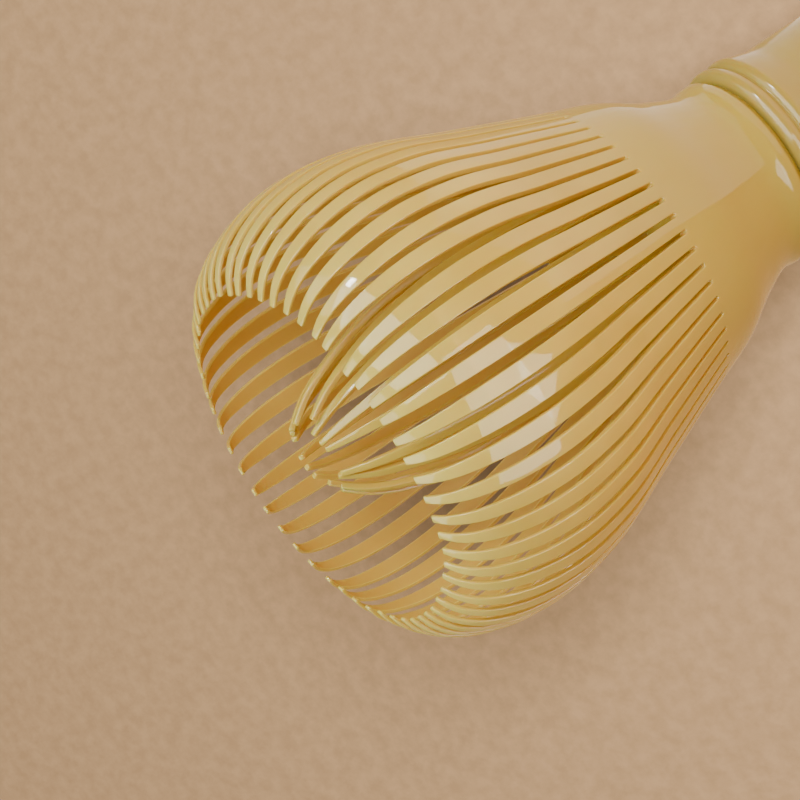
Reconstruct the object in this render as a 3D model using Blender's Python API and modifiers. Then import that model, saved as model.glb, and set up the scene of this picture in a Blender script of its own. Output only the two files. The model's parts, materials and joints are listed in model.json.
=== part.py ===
"""Tea whisk in moulded resin: an outer cage of tines on a flared shoulder, an inner cage of
tines that closes towards the mouth, and a hollow handle with a bamboo node moulded round it.

Run with: blender --background --python part.py
Metres, +Z up along the whisk's axis. The origin is the centre of the handle's flat base, and the
tines point up. Every solid is turned about Z, and the tines are what is left between cut slots.
"""

import math

import bmesh
import bpy
import numpy as np
from mathutils import Matrix, Vector

MM = 0.001
FIT_GAP = 0.3                      # clearance between pieces that touch, mm

# ---- Driving dimensions, in millimetres ----
HEIGHT = 112.0                     # base to the top of the tines
SLOT_Z = 67.0                      # height at which the outer slots end

OUTER_TINES = 54
OUTER_PHASE = 0.02                 # turn of the slots, degrees; keeps the cuts off the wall's own edges
OUTER_RIM_Z = 47.5                 # lower edge of the neck, above the handle's node
NECK_BORE_R = 9.7
NECK_BORE_TOP_Z = 52.0
NECK_STEP = 1.0                    # height of the slope from the neck's bore to the wall above
# Outer outline of the cage, from the tips down to the neck: (radius, height)
OUTER_OUTLINE = (
    (21.1, 111.9),                 # tips, turned in towards the axis
    (24.6, 109.6),
    (26.95, 105.7),
    (28.2, 101.0),
    (28.5, 97.0),                  # fullest girth
    (27.2, 89.0),
    (23.4, 79.0),
    (18.8, SLOT_Z),                # slot ends
    (16.6, 61.0),
    (13.4, 55.3),
    (11.7, 50.6),                  # waist
    (11.9, 48.3),                  # flare above the joint
)
OUTER_RIM_R = 11.4                 # foot of the flare, where it turns in to the joint
# Wall thickness against height
OUTER_WALL = ((NECK_BORE_TOP_Z, 1.6), (SLOT_Z, 1.25), (79.0, 0.9), (92.0, 0.62), (HEIGHT, 0.5))
OUTER_CUT_R = (15.5, 31.0)         # the outer slots are cut between these radii
# Half the slot's width against height
OUTER_SLOT = ((67.3, 0.25), (79.0, 0.36), (92.0, 0.56), (103.0, 0.62), (108.0, 0.7), (112.0, 0.77))

INNER_TINES = 16
INNER_PHASE = 16.7                 # turn of the inner tines against the outer ones, degrees
INNER_SLOT_Z = 63.0
# Outer outline of the inner tines, from the tips down to the hub
INNER_OUTLINE = (
    (4.9, 112.0),
    (6.9, 109.3),
    (9.2, 104.0),
    (11.2, 96.0),
    (11.9, 86.0),                  # fullest girth of the bundle
    (11.0, 75.0),
    (9.7, INNER_SLOT_Z),
    (9.2, 59.0),
)
INNER_WALL = ((INNER_SLOT_Z, 1.3), (90.0, 1.0), (HEIGHT, 0.65))
INNER_SLOT = ((63.9, 0.9), (75.0, 1.38), (96.0, 1.5), (104.0, 1.16), (109.3, 0.88), (112.0, 0.62))
INNER_CUT_R = (2.6, 14.0)
CUT_ABOVE = 2.0                    # how far the cutters reach past the tips
HUB_FLOOR = 1.8                    # closed floor that keeps tea out of the handle
STEM_R = 7.1
STEM_WALL = 1.5
STEM_BASE_Z = 50.0

HANDLE_R = 11.5
HANDLE_BORE_R = 9.0
HANDLE_EDGE = 0.8                  # rounding at the base
SPIGOT_R = NECK_BORE_R - FIT_GAP
SPIGOT_BORE_R = STEM_R + FIT_GAP
SPIGOT_TOP_Z = 57.0
BORE_TOP_Z = 42.0                  # where the handle's bore narrows to the spigot's
BORE_CONE = 2.0                    # height over which it narrows
LIP_R = 12.5                       # lower ridge of the node
LIP_Z = 43.6
LIP_ROUND = 0.9                    # rounding of the ridge's upper edge
LIP_FALL = ((LIP_R, LIP_Z), (12.0, 41.9), (HANDLE_R, 40.0))    # its hollow slope to the handle
NODE_GROOVE_R = 11.9
NODE_GROOVE_Z = 44.85
BEAD_R = 12.4                      # round bead of the node
BEAD_TOP_R = 11.2

PLUG_RECESS = 0.4
PLUG_FLOOR = 2.2
PLUG_SKIRT_Z = 9.0
PLUG_WALL = 1.5
PLUG_CHAMFER = 0.4

CAGE_TURN_STEPS = OUTER_TINES      # facets round the outer cage, one to a tine
INNER_TURN_STEPS = 2 * INNER_TINES
HANDLE_TURN_STEPS = 40
FINE_Z = 104.0                     # above this the cages' walls have twice the steps inside
ROOT_ARC_STEPS = 4                 # facets of a slot's round end
BEAD_STEPS = 6
EDGE_STEPS = 3
MERGE = 0.00001

RESIN = (0.66, 0.47, 0.20, 1.0)    # pale bamboo yellow
RESIN_DEEP = (0.62, 0.43, 0.17, 1.0)


# ---- Outline helpers ----
def smooth_outline(knots, steps):
    """Points on a Catmull-Rom curve through the knots, with some steps in each span."""
    k = np.array(knots, dtype=float)
    ext = np.vstack([2 * k[0] - k[1], k, 2 * k[-1] - k[-2]])
    chord = np.linalg.norm(np.diff(ext, axis=0), axis=1)
    points = []
    for i in range(1, len(ext) - 2):
        p0, p1, p2, p3 = ext[i - 1:i + 3]
        d0, d1, d2 = chord[i - 1:i + 2]
        m1 = d1 * ((p1 - p0) / d0 - (p2 - p0) / (d0 + d1) + (p2 - p1) / d1)
        m2 = d1 * ((p2 - p1) / d1 - (p3 - p1) / (d1 + d2) + (p3 - p2) / d2)
        for t in np.arange(steps) / steps:
            points.append(
                (2 * t**3 - 3 * t**2 + 1) * p1 + (t**3 - 2 * t**2 + t) * m1
                + (3 * t**2 - 2 * t**3) * p2 + (t**3 - t**2) * m2
            )
    points.append(k[-1])
    return np.array(points)


def inset(points, thickness):
    """The outline moved towards the axis by a wall given as (height, thickness) from below."""
    along = np.gradient(points, axis=0)
    along /= np.linalg.norm(along, axis=1)[:, None]
    inward = np.stack([along[:, 1], -along[:, 0]], axis=1)
    heights, values = zip(*thickness)
    wall = np.interp(points[:, 1], heights, values)
    return points + inward * wall[:, None]


def coarser(points, fine_above):
    """Every second point of an outline, and all of them above a height, as tuples."""
    return [tuple(p) for i, p in enumerate(points) if i % 2 == 0 or p[1] > fine_above]


def arc(cx, cz, rx, rz, start, end, steps):
    """Points on an ellipse's arc, angles in degrees from +X towards +Z."""
    angles = np.radians(np.linspace(start, end, steps + 1))
    return [(cx + rx * math.cos(a), cz + rz * math.sin(a)) for a in angles]


# ---- Blender helpers ----
def clear_scene():
    for obj in list(bpy.data.objects):
        bpy.data.objects.remove(obj, do_unlink=True)


def new_collection(name):
    coll = bpy.data.collections.new(name)
    bpy.context.scene.collection.children.link(coll)
    return coll


def resin(name, colour, roughness):
    mat = bpy.data.materials.new(name)
    mat.use_nodes = True
    shader = mat.node_tree.nodes["Principled BSDF"]
    shader.inputs["Base Color"].default_value = colour
    shader.inputs["Roughness"].default_value = roughness
    shader.inputs["Metallic"].default_value = 0.0
    return mat


def turned(name, profile, steps, coll, mat, turn=0.0):
    """Closed profile of (radius, height) in mm, down its outer side first, turned about Z."""
    verts = [(r * MM, 0.0, z * MM) for r, z in profile]
    count = len(verts)
    on_axis = profile[0][0] == 0.0 and profile[-1][0] == 0.0
    edges = [(i, i + 1) for i in range(count - 1)]
    if not on_axis:
        edges.append((count - 1, 0))
    mesh = bpy.data.meshes.new(name)
    mesh.from_pydata(verts, edges, [])
    mesh.transform(Matrix.Rotation(math.radians(turn), 4, "Z"))
    obj = bpy.data.objects.new(name, mesh)
    coll.objects.link(obj)
    screw = obj.modifiers.new("turn", "SCREW")
    screw.axis = "Z"
    screw.steps = steps
    screw.render_steps = steps
    screw.use_merge_vertices = True
    screw.merge_threshold = MERGE
    screw.use_smooth_shade = False
    obj.data.materials.append(mat)
    return obj


def slot_outline(widths, top):
    """One slot's outline as (across, height): a round root, then its two sides up to the top."""
    root_z, root_half = widths[0]
    root = arc(0.0, root_z, root_half, root_half, 180.0, 360.0, ROOT_ARC_STEPS)
    right = [(half, z) for z, half in widths[1:]]
    right.append((widths[-1][1], top))
    left = [(-half, z) for half, z in reversed(right)]
    return root + right + left


def slot_cutters(name, widths, count, first, radii, coll):
    """A ring of slots through a cage's wall, the first at the given angle in degrees."""
    r_in, r_out = radii
    outline = slot_outline(widths, HEIGHT + CUT_ABOVE)
    bm = bmesh.new()
    for k in range(count):
        spin = Matrix.Rotation(math.radians(first) + 2.0 * math.pi * k / count, 4, "Z")
        verts = [bm.verts.new(spin @ Vector((r_in, y, z)) * MM) for y, z in outline]
        face = bm.faces.new(verts)
        pushed = bmesh.ops.extrude_face_region(bm, geom=[face])
        outwards = spin @ Vector((r_out - r_in, 0.0, 0.0)) * MM
        moved = [v for v in pushed["geom"] if isinstance(v, bmesh.types.BMVert)]
        bmesh.ops.translate(bm, vec=outwards, verts=moved)
    bmesh.ops.recalc_face_normals(bm, faces=bm.faces)
    mesh = bpy.data.meshes.new(name)
    bm.to_mesh(mesh)
    bm.free()
    obj = bpy.data.objects.new(name, mesh)
    coll.objects.link(obj)
    obj.hide_render = True
    obj.display_type = "WIRE"
    return obj


def cut(obj, cutter):
    boolean = obj.modifiers.new("slots", "BOOLEAN")
    boolean.operation = "DIFFERENCE"
    boolean.solver = "EXACT"
    boolean.object = cutter


# ---- Pieces ----
def outer_tine_cage(parts, cutters, mat):
    """Neck, shoulder and outer tines in one moulding, open at the mouth."""
    outside = smooth_outline(OUTER_OUTLINE, 2)
    inside = coarser(inset(outside, OUTER_WALL), FINE_Z)
    inside = [p for p in inside if p[1] > NECK_BORE_TOP_Z + NECK_STEP]
    neck = [(OUTER_RIM_R, OUTER_RIM_Z), (NECK_BORE_R, OUTER_RIM_Z), (NECK_BORE_R, NECK_BORE_TOP_Z)]
    profile = [tuple(p) for p in outside] + neck + inside[::-1]
    cage = turned("outer_tine_cage", profile, CAGE_TURN_STEPS, parts, mat)
    slots = slot_cutters("outer_slots", OUTER_SLOT, OUTER_TINES, OUTER_PHASE, OUTER_CUT_R, cutters)
    cut(cage, slots)
    return cage


def inner_tine_cage(parts, cutters, mat):
    """Inner tines on a closed hub, whose hollow stem plugs into the handle's spigot."""
    outside = smooth_outline(INNER_OUTLINE, 2)
    inside = coarser(inset(outside, INNER_WALL), FINE_Z)
    base = SPIGOT_TOP_Z + FIT_GAP
    floor_top = base + HUB_FLOOR
    inside = [p for p in inside if p[1] > floor_top]
    floor_r = inside[-1][0]
    hub = [(INNER_OUTLINE[-1][0], base), (STEM_R, base), (STEM_R, STEM_BASE_Z)]
    hub += [(STEM_R - STEM_WALL, STEM_BASE_Z), (STEM_R - STEM_WALL, base), (0.0, base)]
    wall = inside[::-1] + [tuple(p) for p in outside]
    profile = [(0.0, floor_top), (floor_r, floor_top)] + wall + hub
    half_step = 180.0 / INNER_TURN_STEPS
    cage = turned("inner_tine_cage", profile, INNER_TURN_STEPS, parts, mat, INNER_PHASE + half_step)
    first_slot = INNER_PHASE + 180.0 / INNER_TINES
    slots = slot_cutters("inner_slots", INNER_SLOT, INNER_TINES, first_slot, INNER_CUT_R, cutters)
    cut(cage, slots)
    return cage


def handle_tube(parts, mat):
    """Hollow handle with the node's lip and bead, and the spigot that enters the neck."""
    shoulder_z = OUTER_RIM_Z - FIT_GAP
    bead_z = 0.5 * (NODE_GROOVE_Z + shoulder_z)
    bead_half = 0.5 * (shoulder_z - NODE_GROOVE_Z)
    bead = arc(BEAD_TOP_R, bead_z, BEAD_R - BEAD_TOP_R, bead_half, 90.0, -60.0, BEAD_STEPS)
    lip = arc(LIP_R - LIP_ROUND, LIP_Z, LIP_ROUND, NODE_GROOVE_Z - LIP_Z, 70.0, 0.0, EDGE_STEPS)
    fall = smooth_outline(LIP_FALL, 3)[1:]
    base_r = HANDLE_R - HANDLE_EDGE
    edge = arc(base_r, HANDLE_EDGE, HANDLE_EDGE, HANDLE_EDGE, 0.0, -90.0, EDGE_STEPS)
    outside = [(SPIGOT_R, SPIGOT_TOP_Z), (SPIGOT_R, shoulder_z)] + bead
    outside += [(NODE_GROOVE_R, NODE_GROOVE_Z)] + lip + [tuple(p) for p in fall] + edge
    inside = [(HANDLE_BORE_R, 0.0), (HANDLE_BORE_R, BORE_TOP_Z)]
    inside += [(SPIGOT_BORE_R, BORE_TOP_Z + BORE_CONE), (SPIGOT_BORE_R, SPIGOT_TOP_Z)]
    return turned("handle_tube", outside + inside, HANDLE_TURN_STEPS, parts, mat)


def end_plug(parts, mat):
    """Cup-shaped plug that closes the handle's lower end, set just above the base."""
    r = HANDLE_BORE_R - FIT_GAP
    floor_z = PLUG_RECESS + PLUG_FLOOR
    bore = r - PLUG_WALL
    profile = [(0.0, floor_z), (bore, floor_z), (bore, PLUG_SKIRT_Z), (r, PLUG_SKIRT_Z)]
    profile += [(r, PLUG_RECESS + PLUG_CHAMFER), (r - PLUG_CHAMFER, PLUG_RECESS), (0.0, PLUG_RECESS)]
    return turned("end_plug", profile, HANDLE_TURN_STEPS, parts, mat)


def main():
    clear_scene()
    parts = new_collection("tea_whisk")
    cutters = new_collection("cutters")
    outer_tine_cage(parts, cutters, resin("cage_resin", RESIN, 0.22))
    inner_tine_cage(parts, cutters, resin("inner_resin", RESIN_DEEP, 0.25))
    handle_tube(parts, resin("handle_resin", RESIN, 0.2))
    end_plug(parts, resin("plug_resin", RESIN_DEEP, 0.3))


main()
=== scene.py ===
"""Looks for the moulded resin tea whisk: fine meshes for the two tine cages, the handle and its plug,
their resin materials, and a plain studio with the whisk standing on its base, tines up."""

import json
import math
import random

import bmesh
import bpy
import numpy as np
from mathutils import Matrix, Vector

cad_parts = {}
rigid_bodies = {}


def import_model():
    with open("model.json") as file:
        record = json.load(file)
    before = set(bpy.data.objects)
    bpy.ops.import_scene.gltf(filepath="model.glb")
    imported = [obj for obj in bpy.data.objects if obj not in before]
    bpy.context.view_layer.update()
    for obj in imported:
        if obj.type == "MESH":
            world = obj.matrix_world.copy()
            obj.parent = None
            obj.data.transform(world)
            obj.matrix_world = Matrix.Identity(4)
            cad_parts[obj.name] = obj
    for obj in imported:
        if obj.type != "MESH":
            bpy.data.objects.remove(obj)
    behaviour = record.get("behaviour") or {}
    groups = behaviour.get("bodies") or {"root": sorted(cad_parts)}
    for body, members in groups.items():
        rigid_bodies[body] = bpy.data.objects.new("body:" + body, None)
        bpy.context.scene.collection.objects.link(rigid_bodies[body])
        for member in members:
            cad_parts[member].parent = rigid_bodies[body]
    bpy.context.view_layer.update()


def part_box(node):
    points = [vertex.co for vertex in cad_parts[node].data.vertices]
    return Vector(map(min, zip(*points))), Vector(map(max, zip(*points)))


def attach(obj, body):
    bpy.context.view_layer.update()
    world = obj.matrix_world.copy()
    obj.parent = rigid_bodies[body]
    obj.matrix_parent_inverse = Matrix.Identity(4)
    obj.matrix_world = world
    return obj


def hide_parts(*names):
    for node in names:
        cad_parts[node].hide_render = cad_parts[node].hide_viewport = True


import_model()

MM = 0.001


# ---- Sizes read from the frame, in millimetres ----
def span(node):
    """Largest radius, lowest and highest point of a CAD node."""
    low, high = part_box(node)
    return max(high.x, high.y, -low.x, -low.y) / MM, low.z / MM, high.z / MM


OUTER_R, NECK_Z, TOP_Z = span("outer_tine_cage")
INNER_R, STEM_Z, INNER_TOP_Z = span("inner_tine_cage")
LIP_R, _, SPIGOT_TOP_Z = span("handle_tube")
PLUG_R, PLUG_LOW_Z, PLUG_HIGH_Z = span("end_plug")

# ---- Outer cage. Outlines are (radius, height) from the bottom up; walls are (height, thickness);
# slots are (height, half width) ----
OUTER_TINES = 54
SLOT_Z = 67.0
OUTER_OUTLINE = (
    (11.35, NECK_Z),
    (11.9, NECK_Z + 0.8),
    (11.7, 50.6),
    (13.4, 55.3),
    (16.6, 61.0),
    (18.8, SLOT_Z),
    (23.4, 79.0),
    (27.2, 89.0),
    (OUTER_R, 97.0),
    (28.2, 101.0),
    (27.7, 103.5),
    (26.95, 105.7),
    (25.95, 107.8),
    (24.6, 109.6),
    (23.0, 110.9),
    (21.1, TOP_Z - 0.15),
)
OUTER_WALL = (
    (NECK_Z, 1.65), (48.3, 2.1), (50.6, 2.0), (53.0, 2.0), (57.0, 1.7), (SLOT_Z, 1.25), (76.0, 0.95),
    (86.0, 0.7), (96.0, 0.56), (108.0, 0.5), (TOP_Z, 0.42),
)
OUTER_SLOT = ((SLOT_Z + 0.3, 0.25), (79.0, 0.36), (92.0, 0.56), (103.0, 0.62), (108.0, 0.7), (TOP_Z, 0.77))

# ---- Inner cage, its hub and stem ----
INNER_TINES = 16
INNER_PHASE = 16.7                 # azimuth of its first tine, in degrees
INNER_SLOT_Z = 63.0
INNER_OUTLINE = (
    (9.2, 59.2),
    (9.7, INNER_SLOT_Z),
    (11.0, 75.0),
    (INNER_R, 86.0),
    (11.2, 96.0),
    (9.2, 104.0),
    (6.9, 109.3),
    (4.9, INNER_TOP_Z),
)
INNER_WALL = ((59.0, 1.3), (INNER_SLOT_Z, 1.3), (90.0, 1.0), (INNER_TOP_Z, 0.7))
INNER_SLOT = (
    (INNER_SLOT_Z + 0.9, 0.9), (75.0, 1.38), (96.0, 1.5), (104.0, 1.16), (107.0, 1.03), (109.3, 0.88),
    (INNER_TOP_Z, 0.62),
)
GAP = 0.3                          # between pieces that plug together
HUB_R = 9.2
HUB_FLOOR = 1.8
HUB_BASE_Z = SPIGOT_TOP_Z + GAP
HUB_EDGE = 0.3                     # rounding of the hub's and the stem's edges
HUB_MIDDLE_R = 0.6                 # the small flat that closes the hub's faces at the axis
HUB_HOLLOW_R = 7.6
HUB_HOLLOW_RISE = 0.1
STEM_R = 7.1
STEM_WALL = 1.5

# ---- Handle and plug ----
HANDLE_R = 11.5
HANDLE_BORE_R = 9.0
HANDLE_EDGE = 0.8
HANDLE_INNER_EDGE = 0.3
HANDLE_RINGS_Z = (30.0, 20.0, 10.0, 3.0)
SHOULDER_Z = NECK_Z - GAP
SPIGOT_R = 9.4
SPIGOT_BORE_R = 7.4
SPIGOT_EDGE = 0.4
BORE_TOP_Z = 42.0
BORE_CONE = 2.0
LIP_Z = 43.6
LIP_ROUND = 0.9
LIP_FALL = ((LIP_R, LIP_Z), (12.0, 41.9), (HANDLE_R, 40.0), (HANDLE_R, 38.0))
LIP_FALL_POINTS = slice(5, None, 9)    # the points taken from the fine curve down from the lip
NODE_GROOVE_R = 11.9
NODE_GROOVE_Z = 44.85
BEAD_R = 12.4
BEAD_TOP_R = 11.2
PLUG_FLOOR = 2.2
PLUG_WALL = 1.5
PLUG_INNER_EDGE = 0.5
PLUG_EDGE = 0.4

# ---- Fineness ----
CURVE_STEPS = 60
SHOULDER_RINGS = 20
HUB_WALL_RINGS = 4
TINE_RINGS = 46
TIP_TURNS = (25.0, 50.0, 72.0, 90.0)   # where the rings of a tine's rounded tip lie, in degrees
ROOT_COLUMNS = 6
TURN_STEPS = 160
BEAD_STEPS = 14
LIP_STEPS = 9

# ---- Roundings of the tines ----
OUTER_EDGE = 0.13
INNER_EDGE = 0.14
OUTER_TIP = 0.2
INNER_TIP = 0.17
CORNER_CUT = 0.2929                # how far a rounding's middle lies in from its corner, at radius 1
OUTER_ROOT_GAP = 0.9               # from the slots' level down to the first plain ring of the wall
INNER_ROOT_GAP = 1.6

# ---- Wear ----
# Groups of outer tines pushed aside in use: azimuth and half width in degrees, then mm sideways and out
BUNCHES = (
    (-134.0, 16.0, 0.0, 1.0), (-144.0, 17.0, 0.9, 0.0), (-172.0, 9.0, -0.6, -0.2), (-50.0, 12.0, 0.0, 0.8),
    (92.0, 55.0, 0.0, 2.5),
)
# How far each inner tine's tip has set sideways and outwards, in mm
INNER_SET = (
    (1.2, 0.1), (-0.1, 0.1), (-1.1, -0.1), (-0.5, -0.1), (-1.1, 0.1), (-1.5, -0.4), (-0.1, -1.3), (1.2, -0.5),
    (-0.3, -0.6), (-0.1, -1.1), (-0.9, -0.7), (0.7, -1.4), (0.5, -1.6), (0.5, -1.2), (-2.2, 1.2), (0.9, -0.2),
)
SPREAD_SLOT = -66.7                # azimuth of one slot whose tines stand apart
SPREAD_REACH = 5.0
SPREAD = 0.5
OUTER_WANDER = 0.12
INNER_WANDER = 0.05


# ---- Curves ----
def fine_curve(knots):
    """A dense Catmull-Rom curve through the knots."""
    k = np.array(knots, dtype=float)
    ext = np.vstack([2 * k[0] - k[1], k, 2 * k[-1] - k[-2]])
    chord = np.linalg.norm(np.diff(ext, axis=0), axis=1)
    points = []
    for i in range(1, len(ext) - 2):
        p0, p1, p2, p3 = ext[i - 1:i + 3]
        d0, d1, d2 = chord[i - 1:i + 2]
        m1 = d1 * ((p1 - p0) / d0 - (p2 - p0) / (d0 + d1) + (p2 - p1) / d1)
        m2 = d1 * ((p2 - p1) / d1 - (p3 - p1) / (d1 + d2) + (p3 - p2) / d2)
        for t in np.arange(CURVE_STEPS) / CURVE_STEPS:
            points.append(
                (2 * t**3 - 3 * t**2 + 1) * p1 + (t**3 - 2 * t**2 + t) * m1
                + (3 * t**2 - 2 * t**3) * p2 + (t**3 - t**2) * m2
            )
    points.append(k[-1])
    return np.array(points)


class Outline:
    """A dense outline that is looked up by its length from the bottom, in mm."""

    def __init__(self, knots, wall):
        self.points = fine_curve(knots)
        steps = np.linalg.norm(np.diff(self.points, axis=0), axis=1)
        self.run = np.concatenate([[0.0], np.cumsum(steps)])
        self.length = self.run[-1]
        along = np.gradient(self.points, axis=0)
        self.along = along / np.linalg.norm(along, axis=1)[:, None]
        self.wall = wall

    def at(self, s):
        """Radius, height and the inward normal at a length; past the end it goes straight on."""
        over = max(0.0, s - self.length)
        r, z = (np.interp(s, self.run, self.points[:, i]) for i in (0, 1))
        ar, az = (np.interp(s, self.run, self.along[:, i]) for i in (0, 1))
        return r + over * ar, z + over * az, -az, ar

    def thickness(self, s):
        return table(self.wall, self.at(s)[1])

    def length_at(self, z):
        """The length at which the outline reaches a height."""
        return float(np.interp(z, self.points[:, 1], self.run))


def table(rows, z):
    """Value at a height from a short table of (height, value)."""
    heights, values = zip(*rows)
    return float(np.interp(z, heights, values))


def arc(cx, cz, rx, rz, start, end, steps):
    """Points (radius, height) of an elliptic arc about a centre, between two angles in degrees."""
    angles = np.radians(np.linspace(start, end, steps + 1))
    return [(cx + rx * math.cos(a), cz + rz * math.sin(a)) for a in angles]


# ---- Mesh builders ----
def link_mesh(name, verts, faces):
    """A smooth object in the scene from vertices in mm and faces."""
    mesh = bpy.data.meshes.new(name)
    mesh.from_pydata([tuple(c * MM for c in v) for v in verts], [], faces)
    bm = bmesh.new()
    bm.from_mesh(mesh)
    bmesh.ops.recalc_face_normals(bm, faces=bm.faces)
    bm.to_mesh(mesh)
    bm.free()
    mesh.shade_smooth()
    obj = bpy.data.objects.new(name, mesh)
    bpy.context.scene.collection.objects.link(obj)
    return obj


def root_turns():
    """The angles across a slot's round root, without its two ends."""
    return np.radians(np.linspace(-90.0, 90.0, ROOT_COLUMNS + 1))[1:-1]


def weigh_normals(obj):
    """Keeps the flats flat beside their small roundings."""
    normals = obj.modifiers.new("normals", "WEIGHTED_NORMAL")
    normals.mode = "FACE_AREA"
    normals.weight = 60
    normals.keep_sharp = True


def turned(name, profile, steps=TURN_STEPS):
    """Closed profile of (radius, height), down its outer side, turned about Z."""
    on_axis = profile[0][0] == 0.0 and profile[-1][0] == 0.0
    verts = []
    rings = []
    for r, z in profile:
        if r == 0.0:
            rings.append([len(verts)])
            verts.append((0.0, 0.0, z))
            continue
        rings.append(list(range(len(verts), len(verts) + steps)))
        for i in range(steps):
            a = 2.0 * math.pi * i / steps
            verts.append((r * math.cos(a), r * math.sin(a), z))
    pairs = list(zip(rings, rings[1:]))
    if not on_axis:
        pairs.append((rings[-1], rings[0]))
    faces = []
    for upper, lower in pairs:
        for i in range(steps):
            j = (i + 1) % steps
            corners = [upper[i % len(upper)], lower[i % len(lower)]]
            if len(lower) > 1:
                corners.append(lower[j])
            if len(upper) > 1:
                corners.append(upper[j])
            faces.append(corners)
    return link_mesh(name, verts, faces)


# Places in a tine's ring of 14 points, which runs: outer face, right edge, inner face, left edge
OUTER_LEFT = 0
OUTER_MIDDLE = 1
INNER_MIDDLE = 8
INNER_LEFT = 9
RIGHT_SIDE = (2, 3, 4, 5, 6, 7)
LEFT_SIDE = (0, 13, 12, 11, 10, 9)
INNER_STEPS = (7, 8)
SIDE_STEPS = (3, 4, 5, 10, 11, 12)


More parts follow.
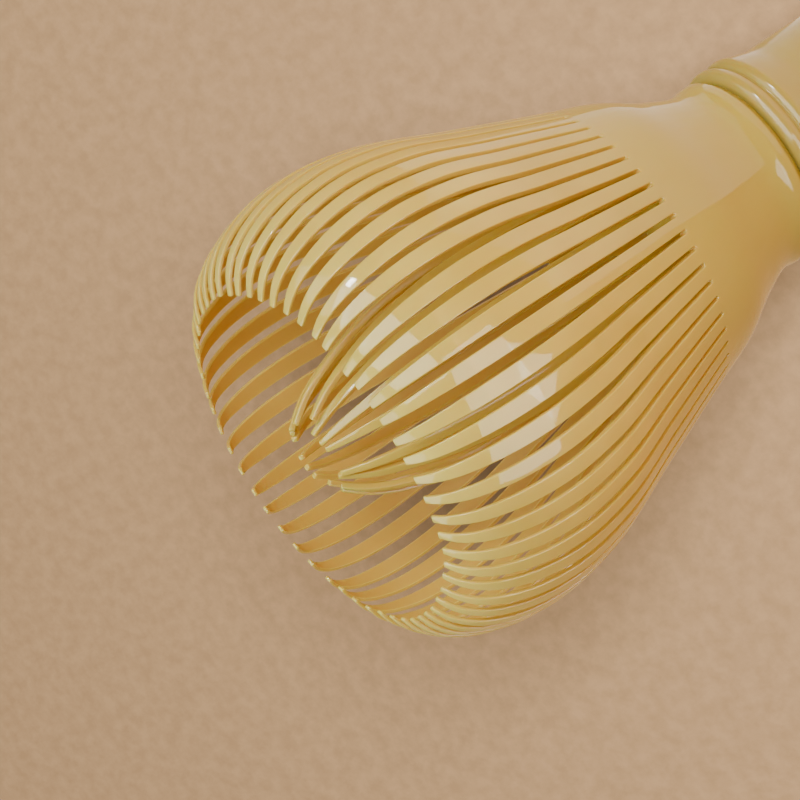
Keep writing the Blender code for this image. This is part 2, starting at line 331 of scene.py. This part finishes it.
class Cage:
    """A turned wall whose upper part is cut into tines. Every slot ends in a round root, and every
    edge is rounded. Points are set by their length along the outline, their place across from a
    tine's centre line and their depth in the wall, in mm."""

    def __init__(self, outline, slots, count, first_tine, edge, tip_round, leans):
        self.o = outline
        self.slots = slots
        self.count = count
        self.pitch = 2.0 * math.pi / count
        self.first = first_tine
        self.edge = edge
        self.tip_round = tip_round
        self.leans = leans
        self.s_slot = outline.length_at(slots[0][0])
        self.verts = []
        self.faces = []
        self.inside = []
        self.sides = []

    def point(self, k, s, across, depth, angle=None):
        """A vertex on tine k, bent with it as a cantilever fixed at its root."""
        r, z, nr, nz = self.o.at(s)
        centre = self.first + k * self.pitch
        turn = centre + (math.asin(across / r) if angle is None else angle)
        r, z = r + nr * depth, z + nz * depth
        x, y = r * math.cos(turn), r * math.sin(turn)
        u = max(0.0, s - self.s_slot) / (self.o.length - self.s_slot)
        give = 0.5 * u * u * (3.0 - u)
        side, out = self.leans[k]
        x += give * (out * math.cos(centre) - side * math.sin(centre))
        y += give * (out * math.sin(centre) + side * math.cos(centre))
        self.verts.append((x, y, z))
        return len(self.verts) - 1

    def half_tine(self, s):
        """Half a tine's width at a length."""
        r, z, _, _ = self.o.at(min(s, self.o.length))
        return r * math.sin(0.5 * self.pitch - math.asin(table(self.slots, z) / r))

    def section(self, k, s, shrink):
        """One ring of points round a tine: outer face, right edge, inner face, left edge."""
        w = self.half_tine(s) - shrink
        t = self.o.thickness(min(s, self.o.length))
        top, low = min(shrink, 0.35 * t), t - min(shrink, 0.35 * t)
        e = min(self.edge, 0.45 * (low - top), 0.6 * w)
        c = CORNER_CUT * e
        ring = [(-(w - e), top), (0.0, top), (w - e, top), (w - c, top + c), (w, top + e)]
        ring += [(w, low - e), (w - c, low - c), (w - e, low), (0.0, low), (-(w - e), low)]
        ring += [(-(w - c), low - c), (-w, low - e), (-w, top + e), (-(w - c), top + c)]
        return [self.point(k, s, across, depth) for across, depth in ring]

    def bridge(self, a, b, inside=(), sides=()):
        """Joins two rings of points; inside and sides list the steps that face those ways."""
        n = len(a)
        for i in range(n):
            j = (i + 1) % n
            if i in inside:
                self.inside.append(len(self.faces))
            if i in sides:
                self.sides.append(len(self.faces))
            self.faces.append((a[i], a[j], b[j], b[i]))

    def tine(self, k):
        """The free part of a tine from just above the slot's root to its rounded tip."""
        rings = []
        top = self.o.length
        for s in np.linspace(self.s_slot, top - self.tip_round, TINE_RINGS):
            rings.append(self.section(k, s, 0.0))
        for a in np.radians(TIP_TURNS):
            s = top - self.tip_round * (1.0 - math.sin(a))
            rings.append(self.section(k, s, self.tip_round * (1.0 - math.cos(a))))
        for low, high in zip(rings, rings[1:]):
            self.bridge(low, high, INNER_STEPS, SIDE_STEPS)
        self.faces.append(tuple(rings[-1]))
        return rings[0]

    def root_strip(self, k, low_ring, next_ring):
        """The round end of the slot after tine k, from the right edge of k to the left edge of k + 1.
        Returns its open edges on the outside and on the inside."""
        e = self.edge
        half = self.slots[0][1]
        r = self.o.at(self.s_slot)[0]
        t = self.o.thickness(self.s_slot)
        c = CORNER_CUT * e
        layers = ((e, 0.0), (c, c), (0.0, e), (0.0, t - e), (c, t - c), (e, t))
        columns = []
        for a in root_turns():
            column = []
            for grow, depth in layers:
                reach = half + grow
                angle = 0.5 * self.pitch + math.asin(reach * math.sin(a) / r)
                column.append(self.point(k, self.s_slot - reach * math.cos(a), 0.0, depth, angle))
            columns.append(column)
        right = [low_ring[i] for i in RIGHT_SIDE]
        left = [next_ring[i] for i in LEFT_SIDE]
        chain = [right] + columns + [left]
        for a, b in zip(chain, chain[1:]):
            for i in range(len(a) - 1):
                self.sides.append(len(self.faces))
                self.faces.append((a[i], a[i + 1], b[i + 1], b[i]))
        return [c[0] for c in chain], [c[-1] for c in chain]

    def build(self, name, lengths, close):
        """lengths are the rings below the slots from the bottom up; close joins the wall's two
        lowest rings, outer and inner."""
        roots = [self.tine(k) for k in range(self.count)]
        outer, inner = [], []
        for k in range(self.count):
            following = roots[(k + 1) % self.count]
            out_edge, in_edge = self.root_strip(k, roots[k], following)
            outer += [roots[k][OUTER_LEFT], roots[k][OUTER_MIDDLE]] + out_edge[:-1]
            inner += [roots[k][INNER_LEFT], roots[k][INNER_MIDDLE]] + in_edge[:-1]
        angles = self.column_angles()
        for edge, is_inner in ((outer, False), (inner, True)):
            above = edge
            for s in lengths[::-1]:
                depth = self.o.thickness(s) if is_inner else 0.0
                ring = [self.point(0, s, 0.0, depth, a) for a in angles]
                self.bridge(above, ring, range(len(ring)) if is_inner else ())
                above = ring
            if is_inner:
                self.inner_low = above
            else:
                self.outer_low = above
        close(self)
        obj = link_mesh(name, self.verts, self.faces)
        # Inner faces and flanks take the second and third materials, which are painted-shade copies of the
        # resin
        for place, faces in enumerate((self.inside, self.sides), start=1):
            for i in faces:
                obj.data.polygons[i].material_index = place
        return obj

    def column_angles(self):
        """Angles of the columns below the slots, from tine 0's left edge round."""
        r = self.o.at(self.s_slot)[0]
        e = self.edge
        half = self.half_tine(self.s_slot) - e
        reach = math.asin(half / r)
        slot = [math.asin((self.slots[0][1] + e) * math.sin(a) / r) for a in root_turns()]
        angles = []
        for k in range(self.count):
            base = k * self.pitch
            angles += [base - reach, base, base + reach]
            angles += [base + 0.5 * self.pitch + a for a in slot]
        return angles


def rim_round(cage):
    """Joins the wall's lowest outer and inner ring with a face."""
    cage.bridge(cage.inner_low, cage.outer_low)


# ---- Pieces ----
def outer_leans(rng):
    """Millimetres each outer tine's tip stands sideways and out of line."""
    leans = []
    for k in range(OUTER_TINES):
        azimuth = (k + 0.5) * 360.0 / OUTER_TINES
        side, out = rng.gauss(0.0, OUTER_WANDER), rng.gauss(0.0, OUTER_WANDER)
        for at, width, push, lift in BUNCHES:
            off = (azimuth - at + 180.0) % 360.0 - 180.0
            near = math.exp(-((off / width) ** 2))
            side += push * near
            out += lift * near
        off = (azimuth - SPREAD_SLOT + 180.0) % 360.0 - 180.0
        if abs(off) < SPREAD_REACH:
            side += math.copysign(SPREAD, off)
        leans.append((side, out))
    return leans


def inner_leans(rng):
    """The same for the inner tines, which have set further out of line."""
    leans = []
    for side, out in INNER_SET:
        leans.append((side + rng.gauss(0.0, INNER_WANDER), out + rng.gauss(0.0, INNER_WANDER)))
    return leans


def outer_cage(rng):
    """Neck, shoulder and outer tines."""
    outline = Outline(OUTER_OUTLINE, OUTER_WALL)
    first = math.pi / OUTER_TINES
    cage = Cage(outline, OUTER_SLOT, OUTER_TINES, first, OUTER_EDGE, OUTER_TIP, outer_leans(rng))
    lengths = np.linspace(0.0, cage.s_slot - OUTER_ROOT_GAP, SHOULDER_RINGS)
    return cage.build("outer_tines", lengths, rim_round)


def inner_cage(rng):
    """Inner tines on their closed hub and stem."""
    outline = Outline(INNER_OUTLINE, INNER_WALL)
    first = math.radians(INNER_PHASE)
    cage = Cage(outline, INNER_SLOT, INNER_TINES, first, INNER_EDGE, INNER_TIP, inner_leans(rng))
    lengths = np.linspace(0.0, cage.s_slot - INNER_ROOT_GAP, HUB_WALL_RINGS)

    def hub(c):
        """The hub's floor with the stem under it, turned with the same columns as the wall."""
        steps = len(c.outer_low)
        angles = c.column_angles()

        def ring(r, z):
            start = len(c.verts)
            for a in angles:
                turn = c.first + a
                c.verts.append((r * math.cos(turn), r * math.sin(turn), z))
            return list(range(start, start + steps))

        e = HUB_EDGE
        floor_z = HUB_BASE_Z + HUB_FLOOR
        low = [ring(r, z) for r, z in arc(HUB_R - e, HUB_BASE_Z + e, e, e, 0.0, -90.0, 3)]
        low += [ring(STEM_R + e, HUB_BASE_Z), ring(STEM_R, HUB_BASE_Z - e)]
        low += [ring(STEM_R, STEM_Z + e), ring(STEM_R - e, STEM_Z)]
        low += [ring(STEM_R - STEM_WALL, STEM_Z), ring(STEM_R - STEM_WALL, HUB_BASE_Z)]
        low += [ring(HUB_MIDDLE_R, HUB_BASE_Z)]
        above = c.outer_low
        for lower in low:
            c.bridge(lower, above)
            above = lower
        c.faces.append(tuple(above[::-1]))
        high = [ring(HUB_HOLLOW_R, floor_z + HUB_HOLLOW_RISE), ring(HUB_MIDDLE_R, floor_z)]
        below = c.inner_low
        for inner in high:
            c.bridge(below, inner)
            below = inner
        c.faces.append(tuple(below))

    return cage.build("inner_tines", lengths, hub)


def handle():
    """Spigot, bead, groove and lip of the bamboo node, the handle down to its foot, and its bore."""
    bead_z = 0.5 * (NODE_GROOVE_Z + SHOULDER_Z)
    bead_half = 0.5 * (SHOULDER_Z - NODE_GROOVE_Z)
    profile = [(SPIGOT_BORE_R, SPIGOT_TOP_Z), (SPIGOT_R - SPIGOT_EDGE, SPIGOT_TOP_Z)]
    profile += [(SPIGOT_R, SPIGOT_TOP_Z - SPIGOT_EDGE), (SPIGOT_R, SHOULDER_Z)]
    profile += arc(BEAD_TOP_R, bead_z, BEAD_R - BEAD_TOP_R, bead_half, 90.0, -60.0, BEAD_STEPS)
    profile += [(NODE_GROOVE_R, NODE_GROOVE_Z)]
    profile += arc(LIP_R - LIP_ROUND, LIP_Z, LIP_ROUND, NODE_GROOVE_Z - LIP_Z, 75.0, 0.0, LIP_STEPS)
    profile += [tuple(p) for p in fine_curve(LIP_FALL)[LIP_FALL_POINTS]]
    profile += [(HANDLE_R, z) for z in HANDLE_RINGS_Z]
    e = HANDLE_EDGE
    profile += arc(HANDLE_R - e, e, e, e, 0.0, -90.0, 6)
    e = HANDLE_INNER_EDGE
    profile += arc(HANDLE_BORE_R + e, e, e, e, 270.0, 180.0, 3)
    profile += [(HANDLE_BORE_R, BORE_TOP_Z), (SPIGOT_BORE_R, BORE_TOP_Z + BORE_CONE)]
    return turned("handle_body", profile)


def plug():
    """A cup that closes the handle's foot, its floor down."""
    floor_z = PLUG_LOW_Z + PLUG_FLOOR
    bore = PLUG_R - PLUG_WALL
    profile = [(0.0, floor_z), (bore - PLUG_INNER_EDGE, floor_z), (bore, floor_z + PLUG_INNER_EDGE)]
    profile += [(bore, PLUG_HIGH_Z), (PLUG_R, PLUG_HIGH_Z)]
    profile += arc(PLUG_R - PLUG_EDGE, PLUG_LOW_Z + PLUG_EDGE, PLUG_EDGE, PLUG_EDGE, 0.0, -90.0, 4)
    profile += [(0.0, PLUG_LOW_Z)]
    return turned("plug_body", profile)


# ---- Materials. Scales of the noise are in waves per metre ----
PAINTED_PALE_FROM_Z = 62.0                 # painted light: the tone is painted paler between these heights, standing in for light showing through the thinning tines, in mm
PAINTED_PALE_TO_Z = 88.0
CLOUD_SCALE = 70.0
FLOW_SCALE = 160.0
FLOW_STRETCH = (1.0, 1.0, 0.12)    # the flow marks run up the whisk
GLOSS_SCALE = 260.0
RIPPLE_SCALE = 420.0
RIPPLE_DEPTH = 0.00005
RESIN_IOR = 1.5
RESIN_DEPTH = 0.0016               # how far light goes into the resin, in metres
FIBRE_SCALE = 420.0


def resin(name, colour, deep, rough, gloss=0.5, painted_pale=None):
    """Glossy, slightly translucent moulded resin with soft clouds of tone and faint flow marks. Up the
    tines, where the wall grows thinner, it is painted a paler colour if one is given: painted light standing
    in for light showing through the thinner resin."""
    mat = bpy.data.materials.new(name)
    mat.use_nodes = True
    nodes = mat.node_tree.nodes
    links = mat.node_tree.links
    shader = nodes["Principled BSDF"]
    where = nodes.new("ShaderNodeTexCoord")

    def noise(scale, detail, stretch=None):
        tex = nodes.new("ShaderNodeTexNoise")
        tex.inputs["Scale"].default_value = scale
        tex.inputs["Detail"].default_value = detail
        tex.inputs["Roughness"].default_value = 0.55
        source = where.outputs["Object"]
        if stretch:
            move = nodes.new("ShaderNodeMapping")
            move.inputs["Scale"].default_value = stretch
            links.new(source, move.inputs["Vector"])
            source = move.outputs["Vector"]
        links.new(source, tex.inputs["Vector"])
        return tex.outputs["Fac"]

    def ranged(value, low, high, start=0.3, end=0.7):
        node = nodes.new("ShaderNodeMapRange")
        node.inputs["From Min"].default_value = start
        node.inputs["From Max"].default_value = end
        node.inputs["To Min"].default_value = low
        node.inputs["To Max"].default_value = high
        links.new(value, node.inputs["Value"])
        return node.outputs["Result"]

    def mixed(factor, a, b):
        node = nodes.new("ShaderNodeMix")
        node.data_type = "RGBA"
        links.new(factor, node.inputs["Factor"])
        for socket, value in ((node.inputs["A"], a), (node.inputs["B"], b)):
            if isinstance(value, tuple):
                socket.default_value = value
            else:
                links.new(value, socket)
        return node.outputs["Result"]

    clouds = ranged(noise(CLOUD_SCALE, 3.0), 0.0, 0.5)
    flow = ranged(noise(FLOW_SCALE, 4.0, FLOW_STRETCH), 0.0, 0.35)
    tone = colour
    # Painted light: the tone turns paler with height up the tines
    if painted_pale:
        split = nodes.new("ShaderNodeSeparateXYZ")
        links.new(where.outputs["Object"], split.inputs["Vector"])
        painted_pale_ramp = ranged(split.outputs["Z"], 0.0, 1.0, PAINTED_PALE_FROM_Z * MM, PAINTED_PALE_TO_Z * MM)
        tone = mixed(painted_pale_ramp, colour, painted_pale)
    tone = mixed(clouds, tone, deep)
    tone = mixed(flow, tone, deep)
    links.new(tone, shader.inputs["Base Color"])
    links.new(ranged(noise(GLOSS_SCALE, 5.0), rough - 0.02, rough + 0.03), shader.inputs["Roughness"])
    bump = nodes.new("ShaderNodeBump")
    bump.inputs["Strength"].default_value = 0.16
    bump.inputs["Distance"].default_value = RIPPLE_DEPTH
    links.new(noise(RIPPLE_SCALE, 3.0), bump.inputs["Height"])
    links.new(bump.outputs["Normal"], shader.inputs["Normal"])
    shader.inputs["Metallic"].default_value = 0.0
    shader.inputs["IOR"].default_value = RESIN_IOR
    shader.inputs["Specular IOR Level"].default_value = gloss
    shader.inputs["Subsurface Weight"].default_value = 0.6
    shader.inputs["Subsurface Radius"].default_value = (1.0, 0.62, 0.25)
    shader.inputs["Subsurface Scale"].default_value = RESIN_DEPTH
    return mat


def paper(name, colour, deep):
    """Matt pale paper with a faint fibrous mottle."""
    mat = bpy.data.materials.new(name)
    mat.use_nodes = True
    nodes = mat.node_tree.nodes
    links = mat.node_tree.links
    shader = nodes["Principled BSDF"]
    where = nodes.new("ShaderNodeTexCoord")
    fibres = nodes.new("ShaderNodeTexNoise")
    fibres.inputs["Scale"].default_value = FIBRE_SCALE
    fibres.inputs["Detail"].default_value = 6.0
    fibres.inputs["Roughness"].default_value = 0.6
    stretch = nodes.new("ShaderNodeMapping")
    stretch.inputs["Scale"].default_value = (1.0, 0.4, 1.0)
    links.new(where.outputs["Object"], stretch.inputs["Vector"])
    links.new(stretch.outputs["Vector"], fibres.inputs["Vector"])
    spread = nodes.new("ShaderNodeMapRange")
    spread.inputs["From Min"].default_value = 0.35
    spread.inputs["From Max"].default_value = 0.65
    links.new(fibres.outputs["Fac"], spread.inputs["Value"])
    mix = nodes.new("ShaderNodeMix")
    mix.data_type = "RGBA"
    mix.inputs["A"].default_value = colour
    mix.inputs["B"].default_value = deep
    links.new(spread.outputs["Result"], mix.inputs["Factor"])
    links.new(mix.outputs["Result"], shader.inputs["Base Color"])
    shader.inputs["Roughness"].default_value = 0.8
    return mat


# ---- Studio ----
VIEW_AZIMUTH = math.radians(-87.73)    # the camera stands on this side of the whisk
VIEW_RISE = math.radians(22.14)
VIEW_ROLL = math.radians(-123.87)      # the camera is turned so that the tips point down and left
VIEW_DISTANCE = 0.8458
VIEW_TARGET = (0.0, 0.00031, 0.0997)   # towards the camera, aside and up, in metres
VIEW_LENS = 337.0
VIEW_SENSOR = 36.0
HEAD = (0.0, 0.0, 0.09)                # where most lamps aim: the middle of the tines
CARD_Z = 0.002
FLOOR_HALF = 6.0


def view_axes():
    """The camera's right, up and backward directions in the row frame."""
    spin = Matrix.Rotation(VIEW_AZIMUTH, 3, "Z")
    ce, se = math.cos(VIEW_RISE), math.sin(VIEW_RISE)
    cr, sr = math.cos(VIEW_ROLL), math.sin(VIEW_ROLL)
    level, rise = Vector((0.0, 1.0, 0.0)), Vector((-se, 0.0, ce))
    right = spin @ (cr * level + sr * rise)
    up = spin @ (-sr * level + cr * rise)
    back = spin @ Vector((ce, 0.0, se))
    return right, up, back


def add_camera():
    """The camera at the photograph's viewing angle."""
    right, up, back = view_axes()
    target = Matrix.Rotation(VIEW_AZIMUTH, 3, "Z") @ Vector(VIEW_TARGET)
    data = bpy.data.cameras.new("view")
    data.lens = VIEW_LENS
    data.sensor_width = VIEW_SENSOR
    data.clip_start = 0.01
    data.clip_end = 20.0
    camera = bpy.data.objects.new("view", data)
    bpy.context.scene.collection.objects.link(camera)
    place = Matrix((right, up, back)).transposed().to_4x4()
    place.translation = target + back * VIEW_DISTANCE
    camera.matrix_world = place
    bpy.context.scene.camera = camera


def soft_light(name, aim, direction, distance, size, power, colour=(1.0, 1.0, 1.0), up=None):
    """A rectangular soft light at a distance from aim in a direction; up sets how it is turned."""
    data = bpy.data.lights.new(name, "AREA")
    data.shape = "RECTANGLE"
    data.size, data.size_y = size
    data.energy = power
    data.color = colour
    lamp = bpy.data.objects.new(name, data)
    bpy.context.scene.collection.objects.link(lamp)
    back = Vector(direction).normalized()
    high = Vector(up or (0.0, 0.0, 1.0))
    across = high.cross(back).normalized()
    high = back.cross(across)
    place = Matrix((across, high, back)).transposed().to_4x4()
    place.translation = Vector(aim) + back * distance
    lamp.matrix_world = place
    lamp.visible_camera = False
    return lamp


def floor_card(name, place, size, power, up):
    """A faint sheet of light just over the floor that only shows as a reflection in the resin; its
    place and size are in mm."""
    aim = (place[0] * MM, place[1] * MM, CARD_Z)
    card = soft_light(name, aim, (0.0, 0.0, -1.0), MM, (size[0] * MM, size[1] * MM), power, up=up)
    card.visible_diffuse = False


def level(azimuth, rise=0.0):
    """A direction at an azimuth in degrees, leaning up by a slope."""
    a = math.radians(azimuth)
    return (math.cos(a), math.sin(a), rise)


def add_lights():
    """Soft studio light, in three groups."""
    right, up, back = view_axes()
    core_side = right * -0.55 + up * 0.64 + back * 0.54

    # Boxes and cards that only show as reflections in the resin
    box = soft_light("left_box", (0.0, 0.0, 0.86), level(-54.0), 0.6, (0.78, 1.16), 19.0)
    core = soft_light("box_core", HEAD, core_side, 0.9, (0.09, 0.1), 2.0)
    panel = soft_light("low_panel", (0.019, -0.01, 0.098), level(-118.0, -0.1), 0.22, (0.267, 0.152), 0.72)
    for lamp in (box, core, panel):
        lamp.visible_diffuse = False
    floor_card("low_card", (-76.5, -194.0), (110.0, 122.0), 0.22, (0.277, -0.961, 0.0))
    floor_card("side_card", (63.0, -12.0), (133.0, 144.0), 0.055, (0.0, 1.0, 0.0))

    # Soft lights whose own shapes don't show in the resin
    front = soft_light("front", HEAD, level(-66.0, 0.5), 0.8, (0.2, 0.2), 4.6)
    fill = soft_light("high_fill", HEAD, level(-165.0, 1.0), 0.7, (0.5, 0.5), 0.6)
    rear = soft_light("rear_fill", HEAD, level(110.0, 0.6), 1.0, (0.6, 0.6), 2.0)
    sweep = soft_light("sweep", HEAD, level(-86.5, 0.405), 2.5, (0.3, 0.3), 145.0)
    for lamp in (front, fill, rear, sweep):
        lamp.visible_glossy = False

    # Plain soft lights
    soft_light("key", HEAD, (0.75, -0.15, 0.65), 1.0, (0.6, 0.6), 3.0, (1.0, 0.97, 0.93))
    soft_light("top", HEAD, (-0.1, 0.3, 1.0), 1.3, (1.0, 1.0), 11.0)


def add_floor():
    """A plain pale floor that the whisk stands on."""
    half = FLOOR_HALF
    mesh = bpy.data.meshes.new("floor")
    corners = [(-half, -half, 0.0), (half, -half, 0.0), (half, half, 0.0), (-half, half, 0.0)]
    mesh.from_pydata(corners, [], [(0, 1, 2, 3)])
    floor = bpy.data.objects.new("floor", mesh)
    bpy.context.scene.collection.objects.link(floor)
    floor.data.materials.append(paper("paper", (0.95, 0.57, 0.275, 1.0), (0.8, 0.475, 0.225, 1.0)))
    return floor


def light_apart(floor):
    """The sweep lights the floor alone, and the whisk's own lights leave the floor to it."""
    only_floor = bpy.data.collections.new("only_floor")
    only_floor.objects.link(floor)
    all_but_floor = bpy.data.collections.new("all_but_floor")
    for obj in bpy.context.scene.objects:
        if obj.type == "MESH" and obj is not floor:
            all_but_floor.objects.link(obj)
    for lamp in bpy.context.scene.objects:
        if lamp.type == "LIGHT":
            receivers = only_floor if lamp.name == "sweep" else all_but_floor
            lamp.light_linking.receiver_collection = receivers


def add_world():
    """A faint even light from all round."""
    world = bpy.data.worlds.new("studio")
    bpy.context.scene.world = world
    world.use_nodes = True
    ground = world.node_tree.nodes["Background"]
    ground.inputs["Color"].default_value = (0.86, 0.83, 0.8, 1.0)
    ground.inputs["Strength"].default_value = 0.16


def main():
    rng = random.Random(11)
    # The paler tone painted up the tines: painted light for light showing through their thinner walls
    painted_pale = (0.93, 0.72, 0.165, 1.0)
    cage_look = resin("cage_resin", (0.66, 0.525, 0.095, 1.0), (0.6, 0.455, 0.07, 1.0), 0.045, painted_pale=painted_pale)
    inner_look = resin("inner_resin", (0.69, 0.55, 0.095, 1.0), (0.63, 0.48, 0.07, 1.0), 0.1)
    # The handle's resin is darker than the cage's: partly its own tone, partly painted shade for the light
    # falling off towards the handle.
    handle_look_with_painted_shade = resin("handle_resin", (0.57, 0.44, 0.09, 1.0), (0.52, 0.38, 0.07, 1.0), 0.12)
    plug_look = resin("plug_resin", (0.7, 0.5, 0.22, 1.0), (0.64, 0.44, 0.18, 1.0), 0.22)
    # Deeper, more orange copies of the cage's resin for its inner faces and slot flanks: painted shade for
    # the gaps between the tines. The inside's satin roughness and weaker gloss are its own finish.
    inside = resin("cage_inside_painted_shade", (0.7, 0.48, 0.085, 1.0), (0.64, 0.41, 0.06, 1.0), 0.6, 0.3)
    side = resin("cage_side_painted_shade", (0.7, 0.52, 0.1, 1.0), (0.64, 0.44, 0.07, 1.0), 0.1)
    made = (
        (outer_cage(rng), "outer_tine_cage", "cage_resin", cage_look),
        (inner_cage(rng), "inner_tine_cage", "inner_resin", inner_look),
        (handle(), "handle_tube", "handle_resin", handle_look_with_painted_shade),
        (plug(), "end_plug", "plug_resin", plug_look),
    )
    for obj, node, slot, look in made:
        obj.data.materials.append(look)
        if node in ("outer_tine_cage", "inner_tine_cage"):
            # The painted-shade copies go on the inner faces and the flanks
            obj.data.materials.append(inside)
            obj.data.materials.append(side)
        weigh_normals(obj)
        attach(obj, "root")
        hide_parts(node)
    floor = add_floor()
    add_world()
    add_lights()
    light_apart(floor)
    add_camera()


main()
